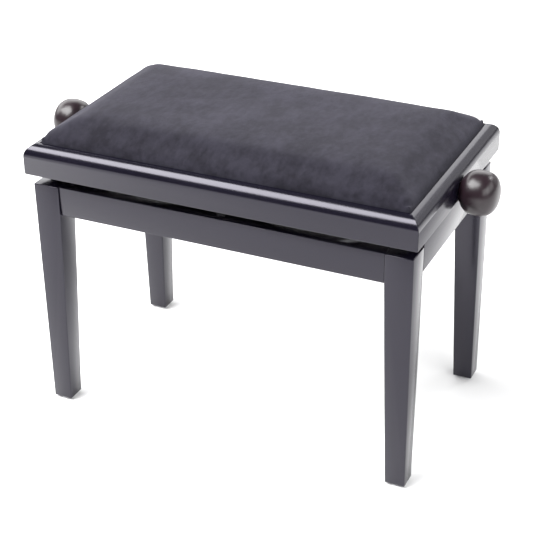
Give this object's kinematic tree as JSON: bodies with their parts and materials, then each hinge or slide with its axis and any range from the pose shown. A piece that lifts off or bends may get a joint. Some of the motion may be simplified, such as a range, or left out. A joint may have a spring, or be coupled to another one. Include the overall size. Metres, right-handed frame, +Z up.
{
  "type": "adjustable piano bench",
  "caption": "Piano bench with a velvet-padded seat in a moulded black frame, tapered legs, and a scissor lift raised by turning either side knob.",
  "frame": {"origin": "on the floor, under the middle of the bench, with the seat at its lowest stop", "axes": "+X along the seat, from knob to knob; +Y from the front apron to the back; +Z up"},
  "size_m": [0.66, 0.3312, 0.4365],
  "materials": {
    "black_lacquer": "satin black lacquer",
    "knob_lacquer": "polished dark lacquer",
    "velvet": "short-pile velvet",
    "foam": "open-cell foam",
    "painted_plywood": "plywood painted matt black",
    "stained_beech": "dark-stained beech",
    "black_steel": "matt black powder coat",
    "bright_steel": "bright turned steel",
    "nylon": "natural nylon",
    "rubber": "matt black rubber",
    "glide_plastic": "grey plastic"
  },
  "bodies": {
    "base": {"leg_back_left": "black_lacquer", "leg_back_right": "black_lacquer", "leg_front_left": "black_lacquer", "leg_front_right": "black_lacquer", "foot_glide_back_left": "glide_plastic", "foot_glide_back_right": "glide_plastic", "foot_glide_front_left": "glide_plastic", "foot_glide_front_right": "glide_plastic", "front_apron": "black_lacquer", "back_apron": "black_lacquer", "side_apron_left": "black_lacquer", "side_apron_right": "black_lacquer", "rest_buffer_back_left": "rubber", "rest_buffer_back_right": "rubber", "rest_buffer_front_left": "rubber", "rest_buffer_front_right": "rubber", "corner_bracket_back_left": "black_steel", "corner_bracket_back_right": "black_steel", "corner_bracket_front_left": "black_steel", "corner_bracket_front_right": "black_steel", "corner_bolt_back_left": "bright_steel", "corner_bolt_back_right": "bright_steel", "corner_bolt_front_left": "bright_steel", "corner_bolt_front_right": "bright_steel", "lower_rail_back": "black_steel", "lower_rail_front": "black_steel", "lower_pivot_rod": "bright_steel"},
    "seat": {"seat_rail_back": "black_lacquer", "seat_rail_front": "black_lacquer", "seat_rail_left": "black_lacquer", "seat_rail_right": "black_lacquer", "corner_block_back_left": "stained_beech", "corner_block_back_right": "stained_beech", "corner_block_front_left": "stained_beech", "corner_block_front_right": "stained_beech", "seat_board": "painted_plywood", "seat_foam": "foam", "velvet_cover": "velvet", "upper_rail_back": "black_steel", "upper_rail_front": "black_steel", "upper_pivot_back": "bright_steel", "upper_pivot_front": "bright_steel", "spindle_bush_left": "nylon", "spindle_bush_right": "nylon"},
    "spindle": {"spindle": "bright_steel", "shaft_collar_left": "bright_steel", "shaft_collar_right": "bright_steel", "knob_left": "knob_lacquer", "knob_right": "knob_lacquer", "knob_pin_left": "bright_steel", "knob_pin_right": "bright_steel"},
    "drive_nut": {"drive_crossbar": "bright_steel"},
    "lower_arms": {"lower_arm_back": "black_steel", "lower_arm_front": "black_steel", "centre_rivet_back": "bright_steel", "centre_rivet_front": "bright_steel"},
    "upper_arms": {"upper_arm_back": "black_steel", "upper_arm_front": "black_steel", "lower_slide_rod": "bright_steel"}
  },
  "joints": [
    {"name": "seat_lift", "type": "slide", "parent": "base", "child": "seat", "axis": [0, 0, 1], "range_m": [0, 0.1]},
    {"name": "spindle_turn", "type": "hinge", "parent": "seat", "child": "spindle", "pos_m": [0, 0, 0.3737], "axis": [1, 0, 0], "range_deg": [0, 2824]},
    {"name": "nut_travel", "type": "slide", "parent": "seat", "child": "drive_nut", "axis": [1, 0, 0], "range_m": [-0.0315, 0]},
    {"name": "lower_arm_tilt", "type": "hinge", "parent": "base", "child": "lower_arms", "pos_m": [-0.17, 0, 0.322], "axis": [0, -1, 0], "range_deg": [0, 17.6]},
    {"name": "upper_arm_tilt", "type": "hinge", "parent": "seat", "child": "upper_arms", "pos_m": [-0.17, 0, 0.3737], "axis": [0, 1, 0], "range_deg": [0, 17.6]}
  ],
  "couplings": [
    {"joint": "spindle_turn", "follows": "seat_lift", "rad_per_m": 492.57},
    {"joint": "nut_travel", "follows": "seat_lift", "ratio": -0.31358},
    {"joint": "lower_arm_tilt", "follows": "seat_lift", "rad_per_m": 3.0593},
    {"joint": "upper_arm_tilt", "follows": "seat_lift", "rad_per_m": 3.0593}
  ]
}
